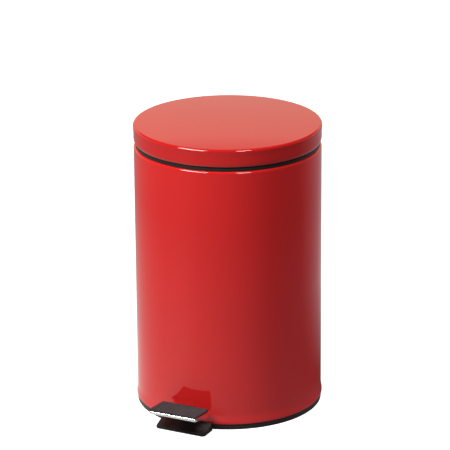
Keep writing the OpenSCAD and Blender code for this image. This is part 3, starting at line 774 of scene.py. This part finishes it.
# %% Push rod
rod_low, rod_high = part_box("push_rod")
ROD_X, ROD_Y = rod_high.x - WIRE_R, (rod_low.y + rod_high.y) / 2
ROD_TOP = rod_high.z - WIRE_R
corners = [(ROD_X, rod_low.z), (ROD_X, ROD_TOP), (rod_low.x, ROD_TOP)]
flat = spaced(eased(corners, 3.4 * MM, 8, closed=False), 20 * MM)
path = np.column_stack((flat[:, 0], np.full(len(flat), ROD_Y), flat[:, 1]))
path = np.insert(path, [1, len(path) - 1], [path[0] + (0, 0, 0.5 * MM), path[-1] + (0.5 * MM, 0, 0)], 0)
thick = np.full(len(path), WIRE_R)
thick[[0, -1]] = WIRE_TIP_R
piece("rod_wire", tube(path, thick, (0, 1, 0), 20), "push_rod", "push_rod")

# %% [markdown]
# ## The pedal
# The pedal has its own sloping frame: its origin is at the back edge of the tray's top, and its own -Y
# runs up the slope to the front. `on_pedal` turns and moves a mesh from that frame to the can's.


# %% Pedal frame
def on_pedal(mesh):
    """Turns by the slope s about X, (y, z) to (y cos s + z sin s, z cos s - y sin s), and moves."""
    x, y, z = mesh[0].T
    c, s = np.cos(PEDAL_SLOPE), np.sin(PEDAL_SLOPE)
    origin = (0, PAD_BACK_Y, PAD_Z - PAD_T / c)
    return np.column_stack((x, y * c + z * s, z * c - y * s)) + origin, mesh[1]


# %% [markdown]
# The tray is one chromed pressing: a flat top under the pad with a lip folded down all round, deeper
# towards the can and cut away at the back where the lever passes. From each point of the tray's edge
# the sheet goes in to the middle line and down over the fold, so the two parameters are the distance
# along the edge and the distance over the fold.


# %% Pedal tray
TRAY_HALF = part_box("pedal_plate")[1].x
TRAY_BACK, TRAY_FRONT = -2.5 * MM, -48 * MM
TRAY_CORNER = 3.0 * MM
FOLD_R = 1.6 * MM
NOTCH_X = 13 * MM
NOTCH_CELLS = 8


def tray_edge():
    """Points and outward directions round the tray's edge: back, side and front for +X, then mirrored."""
    corner_x, back_y, front_y = TRAY_HALF - TRAY_CORNER, TRAY_BACK - TRAY_CORNER, TRAY_FRONT + TRAY_CORNER
    back_x = np.hstack((np.linspace(0, NOTCH_X, NOTCH_CELLS + 1), np.linspace(NOTCH_X, corner_x, 9)[1:-1]))
    side_y = np.linspace(back_y, front_y, 20)[1:-1]
    front_x = np.linspace(corner_x, 0, 14)[1:]
    half = np.vstack((
        np.column_stack((back_x, np.full(len(back_x), TRAY_BACK))),
        arc((corner_x, back_y), TRAY_CORNER, 90, 0, 13),
        np.column_stack((np.full(len(side_y), TRAY_HALF), side_y)),
        arc((corner_x, front_y), TRAY_CORNER, 0, -90, 13),
        np.column_stack((front_x, np.full(len(front_x), TRAY_FRONT))),
    ))
    counts = (len(back_x), len(side_y), len(front_x))
    back_part = (np.full(counts[0], 90.0), np.linspace(90, 0, 13))
    side_part = (np.zeros(counts[1]), np.linspace(0, -90, 13))
    turn_at = np.radians(np.hstack((*back_part, *side_part, np.full(counts[2], -90.0))))
    out_way = np.column_stack((np.cos(turn_at), np.sin(turn_at)))
    mirror = (-1, 1)
    return np.vstack((half, (half * mirror)[-2:0:-1])), np.vstack((out_way, (out_way * mirror)[-2:0:-1]))


def tray_skin(side):
    """One side of the tray: 0 for the top skin, 1 for the under skin, in step. Over the fold, at angle t,
    the sheet is in from the edge by thickness + r (1 - sin t) and down by thickness + r (1 - cos t)."""
    edge, way = tray_edge()
    inset = side * PLATE_T
    r = FOLD_R - inset
    drop = np.interp(
        edge[:, 1],
        [TRAY_FRONT, TRAY_FRONT + 5 * MM, TRAY_BACK - 4 * MM, TRAY_BACK],
        [4.2 * MM, 4.8 * MM, 10.2 * MM, 8.5 * MM],
    )
    spine_y = np.clip(edge[:, 1], TRAY_FRONT + 12 * MM, TRAY_BACK - 12 * MM)
    flat = np.full(len(edge), -inset)
    rows = [np.column_stack((0 * spine_y, spine_y, flat)), np.column_stack((edge - 2.6 * MM * way, flat))]
    for t in np.radians(np.linspace(0, 90, 7)):
        bent = edge - (inset + r * (1 - np.sin(t))) * way
        rows.append(np.column_stack((bent, flat - r * (1 - np.cos(t)))))
    for share in (0.3, 0.9, 1.0):
        rows.append(np.column_stack((edge - inset * way, -FOLD_R - share * (drop - FOLD_R))))
    return np.stack(rows)


top, under = tray_skin(0), tray_skin(1)
cells = np.ones((top.shape[0] - 1, top.shape[1]), bool)
cells[1:, :NOTCH_CELLS] = False
cells[1:, -NOTCH_CELLS:] = False
tray = welded(sheet(top, under, cells, True, low_rim=False))
piece("pedal_tray", on_pedal(outward(*tray)), "pedal", "pedal_plate")

# %% [markdown]
# The pad is moulded rubber with straight ribs across it, so that a wet shoe doesn't slip. Its side
# view is one outline, with each rib's corners eased, carried along X. The outline shrinks a little at
# both ends, which rounds the pad's ends.


# %% Pedal pad
PAD_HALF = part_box("pedal_pad")[1].x
PAD_LENGTH = 45 * MM
RIBS = 9
RIB_H = 1.4 * MM
RIB_SHARE = 0.6
END_ROUND = 0.5 * MM


def pad_outline():
    """The pad's closed y-z outline: a base, and RIBS ribs that are each RIB_SHARE of the pitch wide."""
    pitch = PAD_LENGTH / RIBS
    start = -PAD_LENGTH + np.arange(RIBS) * pitch
    base, crest = PAD_T - RIB_H, PAD_T
    foot = 0.06 * pitch
    end = start + RIB_SHARE * pitch
    rib_y = np.stack((start, start + foot, end - foot, end), 1)
    rib_z = np.tile((base, crest, crest, base), (RIBS, 1))
    crests = np.column_stack((rib_y.ravel(), rib_z.ravel()))
    return eased(np.vstack(((-PAD_LENGTH, 0), crests, (0, base), (0, 0)))[::-1], 0.42 * MM, 4)


outline = pad_outline()
middle = np.array((-PAD_LENGTH / 2, 0.45 * PAD_T))
near_end = PAD_HALF - np.array((END_ROUND, 0.12 * MM))
across = np.sort(np.hstack((np.linspace(-PAD_HALF, PAD_HALF, 33), near_end, -near_end)))
end_gap = np.minimum(across + PAD_HALF, PAD_HALF - across)
share = np.clip(end_gap / END_ROUND, 0, 1)
shrink = END_ROUND * (1 - np.sqrt(share * (2 - share)))
scale = 1 - shrink[:, None, None] / np.array((PAD_LENGTH / 2, PAD_T / 2))
grid = middle + (outline - middle) * scale
stations = np.dstack((np.broadcast_to(across[:, None], grid.shape[:2]), grid + (0, 0.02 * MM)))
piece("pedal_rubber", on_pedal(swept_grid(stations, False)), "pedal", "pedal_pad", crisp=40)

# %% [markdown]
# ## Rivets and pins
# Each rivet is one turned outline: a flat set head, a shank through the sheets and a domed head. The
# pins have chamfered ends. A set of rivets is one piece, as each set is one node in the frame.


# %% Rivets
RIVET_SIDES = 28


def rivet(shank, head, start, under, over, dome):
    """A turned rivet along its own Z: a set head from `start` to `under`, a shank to `over`, and a domed
    head of height `dome`, with the outline (head cos t, over + dome sin t), t from 0 to 90 degrees."""
    t = np.radians(np.linspace(12, 84, 7))
    cap = np.column_stack((head * np.cos(t), over + dome * np.sin(t)))
    ease = 0.25 * MM
    low = [(0, start), (head - 2 * ease, start), (head - ease, start + ease)]
    low += [(head - ease, under - ease / 2), (head - 2 * ease, under), (shank, under)]
    return spun(np.vstack((low, (shank, over), (head, over), cap, (0, over + dome))), RIVET_SIDES)


def pin(node, axis):
    """A turned pin that fills its node's box, with chamfered ends."""
    low, high = (np.array(v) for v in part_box(node))
    length, middle = (high - low)["XYZ".index(axis)], (low + high) / 2
    radius = (high - low)["YZX".index(axis)] / 2
    edge = 0.5 * MM
    outline = [(0, -length / 2), (radius - edge, -length / 2), (radius, edge - length / 2)]
    outline += [(radius, -length / 4), (radius, length / 4)]
    outline += [(radius, length / 2 - edge), (radius - edge, length / 2), (0, length / 2)]
    return placed(spun(outline, 36), middle, axis)


BRACKET_RIVET = rivet(2 * MM, 3.7 * MM, 142.2 * MM, 143.4 * MM, 148.05 * MM, 1.4 * MM)
hinge_z = (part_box("hinge_pin")[0].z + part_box("hinge_pin")[1].z) / 2
spots = [(x * MM, 0, hinge_z - dz * MM) for x in (-12, 12) for dz in (45, 29)]
bracket_set = joined(*[placed(BRACKET_RIVET, spot, "Y") for spot in spots])
piece("bracket_rivet_set", bracket_set, "can", "hinge_bracket_rivets")

LEAF_RIVET = rivet(1.6 * MM, 2.95 * MM, 143.4 * MM, 144.6 * MM, 149.25 * MM, 1.15 * MM)
leaf_set = joined(*[placed(LEAF_RIVET, (x * MM, 0, LID_Z0 + 18 * MM), "Y") for x in (-9, 9)])
piece("leaf_rivet_set", leaf_set, "lid", "hinge_leaf_rivets")

pan_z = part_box("floor_pan")[1].z
PIVOT_RIVET = rivet(2 * MM, 3.75 * MM, -4.2 * MM, -3.0 * MM, 0.05 * MM, 1.3 * MM)
pivot_set = joined(*[placed(PIVOT_RIVET, (0, y * MM, pan_z), "Z") for y in (-70, -46)])
piece("pivot_rivet_set", pivot_set, "can", "pivot_bracket_rivets")

guide_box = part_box("rod_guide_rivet")
guide_y = guide_box[0].y
GUIDE_RIVET = rivet(2 * MM, 3.55 * MM, guide_y, guide_y + 1.2 * MM, CAN_R + 0.12 * MM, 1.3 * MM)
guide_x, guide_z = ((guide_box[0][k] + guide_box[1][k]) / 2 for k in (0, 2))
piece("guide_rivet", placed(GUIDE_RIVET, (guide_x, 0, guide_z), "Y"), "can", "rod_guide_rivet")

TRAY_RIVET = MM * np.array([
    (0, -5), (3.1, -5), (3.55, -4.6), (3.55, -3.6), (3.3, -3.4),
    (2, -3.4), (2, -0.3), (1.8, -0.02), (0, -0.02),
])
tray_set = joined(*[placed(spun(TRAY_RIVET, RIVET_SIDES), (0, y * MM, 0), "Z") for y in (-12, -30)])
piece("tray_rivet_set", on_pedal(tray_set), "pedal", "pedal_rivets")

piece("hinge_axle", pin("hinge_pin", "X"), "can", "hinge_pin")
piece("lever_axle", pin("lever_pin", "X"), "can", "lever_pin")

# %% [markdown]
# ## Folded and moulded small parts
# Brackets, the lever, the base ring and the small mouldings have plain shapes that are already right
# in the frame, but their edges are too sharp to catch the light. Copies of their meshes are cleaned
# and bevelled: a fine edge on sheet metal, a softer one on mouldings.

# %% Eased copies
EDGES = {
    0.25 * MM: ("hinge_bracket", "hinge_leaf", "pivot_bracket", "pedal_lever", "floor_pan"),
    0.12 * MM: ("hinge_pin_clips", "lever_pin_clips", "foot_screws", "lever_bush", "rod_guide"),
    0.6 * MM: ("base_ring", "lever_stop", "lid_buffers", "rod_foot"),
    0.35 * MM: ("stabiliser_foot",),
}
for width, nodes in EDGES.items():
    for node in nodes:
        rounded_copy(node, width)
left_over = [name for name, obj in frame["nodes"].items() if not obj.hide_render]
print("nodes still shown as packed:", left_over)

# %% [markdown]
# ## The studio
# Gloss only looks like gloss if there is something to reflect. Two softboxes stand in front, to the
# left and to the right, and a warm wall glows low behind. Two more lights fill the sides and are kept
# out of reflections. The camera sees a plain white floor, but the paint mirrors another one: a set
# pattern of glow, brighter on the left, fading with distance and dark by the pedal. Its values were
# fitted to the look of the paint, so it isn't how a real floor would light the can.


# %% Floor
def bearing(azimuth, elevation, distance, centre=(0, 0, 0)):
    """The point at that distance from centre. Azimuth 0 is towards -Y and 90 towards +X."""
    a, e = np.radians(azimuth), np.radians(elevation)
    way = np.array((np.sin(a) * np.cos(e), -np.cos(a) * np.cos(e), np.sin(e)))
    return np.asarray(centre, float) + distance * way


VIEW_AT = 26.5


def floor_material():
    """White for the eye, with only a trace of shade. What the paint reflects is a glow that falls from left
    to right and with the distance from the can, times one minus the can's soft shadow, which lies behind
    the can on the side away from the left softbox and fades with distance. Under the can and under the
    pedal it is dark."""
    made = bpy.data.materials.new("studio_floor")
    made.use_nodes = True
    tree = made.node_tree
    tree.nodes.clear()
    place = add(tree, "ShaderNodeTexCoord").outputs["Object"]
    away = add(tree, "ShaderNodeVectorMath", {0: place}, operation="LENGTH").outputs["Value"]
    way = add(tree, "ShaderNodeVectorMath", {0: place}, operation="NORMALIZE").outputs[0]

    def towards(azimuth):
        aim = bearing(azimuth, 0, 1)
        return add(tree, "ShaderNodeVectorMath", {0: way, 1: aim}, operation="DOT_PRODUCT").outputs["Value"]

    side = remap(tree, towards(VIEW_AT + 90), -0.75, 0.75, *FLOOR_SIDES)
    side = math_node(tree, "ADD", side, remap(tree, towards(VIEW_AT - 56), 0.94, 1.0, 0.0, FLOOR_STREAK))
    far = remap(tree, away, 0.25, 1.1, 1.0, FLOOR_FAR)
    behind = remap(tree, towards(VIEW_AT + 150), 0.55, 0.95, 0.0, FLOOR_BEHIND)
    shade = remap(tree, towards(VIEW_AT + 130), 0.35, 0.9, 0.0, 0.85)
    shade = math_node(tree, "MULTIPLY", shade, remap(tree, away, 0.22, 0.62, 1.0, 0.0))
    glow = math_node(tree, "ADD", math_node(tree, "MULTIPLY", side, far), behind)
    glow = math_node(tree, "MULTIPLY", glow, math_node(tree, "SUBTRACT", 1.0, shade))
    glow = math_node(tree, "MULTIPLY", glow, remap(tree, away, 0.135, 0.15, 0.0, 1.0))
    pedal = add(tree, "ShaderNodeVectorMath", {0: place, 1: (0.02, -0.165, 0.0)}, operation="DISTANCE")
    glow = math_node(tree, "MULTIPLY", glow, remap(tree, pedal.outputs["Value"], 0.02, 0.085, 0.15, 1.0))
    warmth = remap(tree, towards(VIEW_AT + 90), -0.6, 0.6, 0.0, 1.0)
    ends = {0: warmth, 6: (1.0, 0.97, 0.92, 1), 7: (0.96, 0.97, 1.05, 1)}
    tint = add(tree, "ShaderNodeMix", ends, data_type="RGBA").outputs[2]
    shown = remap(tree, away, 0.12, 0.135, 0.0, 0.94)
    seen = add(tree, "ShaderNodeEmission", {"Color": (1, 1, 1, 1), "Strength": shown})
    lit = add(tree, "ShaderNodeBsdfDiffuse", {"Color": (0.5, 0.5, 0.5, 1)})
    eye = add(tree, "ShaderNodeAddShader", {0: seen.outputs[0], 1: lit.outputs[0]})
    mirror = add(tree, "ShaderNodeEmission", {"Color": tint, "Strength": glow})
    ray = add(tree, "ShaderNodeLightPath").outputs["Is Camera Ray"]
    both = add(tree, "ShaderNodeMixShader", {0: ray, 1: mirror.outputs[0], 2: eye.outputs[0]})
    add(tree, "ShaderNodeOutputMaterial", {"Surface": both.outputs[0]})
    return made


FLOOR_SIDES = (0.87, 0.31)
FLOOR_FAR = 0.42
FLOOR_BEHIND = 0.25
FLOOR_STREAK = 0.12
FLOOR_HALF = 9.0
FLOOR_Z = -0.2 * MM
ground = bpy.data.meshes.new("studio_floor")
corners = [(x * FLOOR_HALF, y * FLOOR_HALF, FLOOR_Z) for x, y in ((-1, -1), (1, -1), (1, 1), (-1, 1))]
ground.from_pydata(corners, [], [(0, 1, 2, 3)])
ground.materials.append(floor_material())
floor = bpy.data.objects.new("studio_floor", ground)
bpy.context.scene.collection.objects.link(floor)
print("floor", 2 * FLOOR_HALF, "m wide")


# %% Softboxes
def softbox(name, azimuth, elevation, distance, width, height, power, mirrored=True):
    """A rectangular area light aimed at the can's middle. mirrored=False keeps it out of reflections."""
    light = bpy.data.lights.new(name, "AREA")
    light.shape = "RECTANGLE"
    light.size, light.size_y = width, height
    light.energy = power
    lamp = bpy.data.objects.new(name, light)
    middle = Vector((0, 0, 0.25))
    spot = Vector(bearing(azimuth, elevation, distance, middle))
    lamp.location = spot
    lamp.rotation_euler = (spot - middle).to_track_quat("Z", "Y").to_euler()
    lamp.visible_glossy = mirrored
    bpy.context.scene.collection.objects.link(lamp)
    print(name, power, "W")


softbox("softbox_left", VIEW_AT - 50, 47, 2.6, 1.2, 0.8, 98)
softbox("softbox_right", VIEW_AT + 23, 50, 2.6, 0.6, 0.6, 27)
softbox("fill_left", VIEW_AT - 118, 25, 3.0, 1.5, 1.5, 33, mirrored=False)
softbox("fill_right", VIEW_AT + 118, 25, 3.0, 1.5, 1.5, 52, mirrored=False)


# %% Surroundings
def surroundings(behind, dim):
    """A room as dim as `dim`. Behind the can a warm wall glows: it starts to fade at 20 degrees above the
    floor and ends by 27."""
    world = bpy.data.worlds.new("studio")
    world.use_nodes = True
    tree = world.node_tree
    tree.nodes.clear()
    way = add(tree, "ShaderNodeTexCoord").outputs["Generated"]
    x, y, z = add(tree, "ShaderNodeSeparateXYZ", {0: way}).outputs
    back = bearing(VIEW_AT + 180, 0, 1)
    facing = add(tree, "ShaderNodeVectorMath", {0: way, 1: back}, operation="DOT_PRODUCT").outputs["Value"]
    wall = remap(tree, facing, -0.2, 0.7, 0.0, 1.0)
    low = remap(tree, z, 0.345, 0.455, 1.0, 0.0)
    glow = math_node(tree, "MULTIPLY", math_node(tree, "MULTIPLY", wall, low), behind)
    level = math_node(tree, "ADD", glow, dim)
    light = add(tree, "ShaderNodeBackground", {"Color": (1.0, 0.93, 0.74, 1), "Strength": level})
    add(tree, "ShaderNodeOutputWorld", {"Surface": light.outputs[0]})
    bpy.context.scene.world = world


surroundings(behind=0.76, dim=0.03)
bpy.context.scene.view_settings.view_transform = "Standard"
bpy.context.scene.view_settings.look = "None"
print("studio ready")

# %% [markdown]
# ## The camera
# A long lens from four and a half metres, a little to the right of the pedal and 20 degrees above it,
# keeps the can's sides nearly parallel.

# %% Camera
AIM = Vector((0, 0, 0.219))
lens = bpy.data.cameras.new("camera")
lens.lens = 233.5
lens.sensor_width = 36
lens.shift_x, lens.shift_y = -0.0079, 0.0888
lens.clip_start, lens.clip_end = 0.1, 50
camera = bpy.data.objects.new("camera", lens)
eye = Vector(bearing(VIEW_AT, 20, 4.595, AIM))
facing = (eye - AIM).to_track_quat("Z", "Y").to_matrix() @ Matrix.Rotation(np.radians(-0.405), 3, "Z")
camera.matrix_world = Matrix.Translation(eye) @ facing.to_4x4()
bpy.context.scene.collection.objects.link(camera)
bpy.context.scene.camera = camera
print("camera at", [round(v, 3) for v in eye])
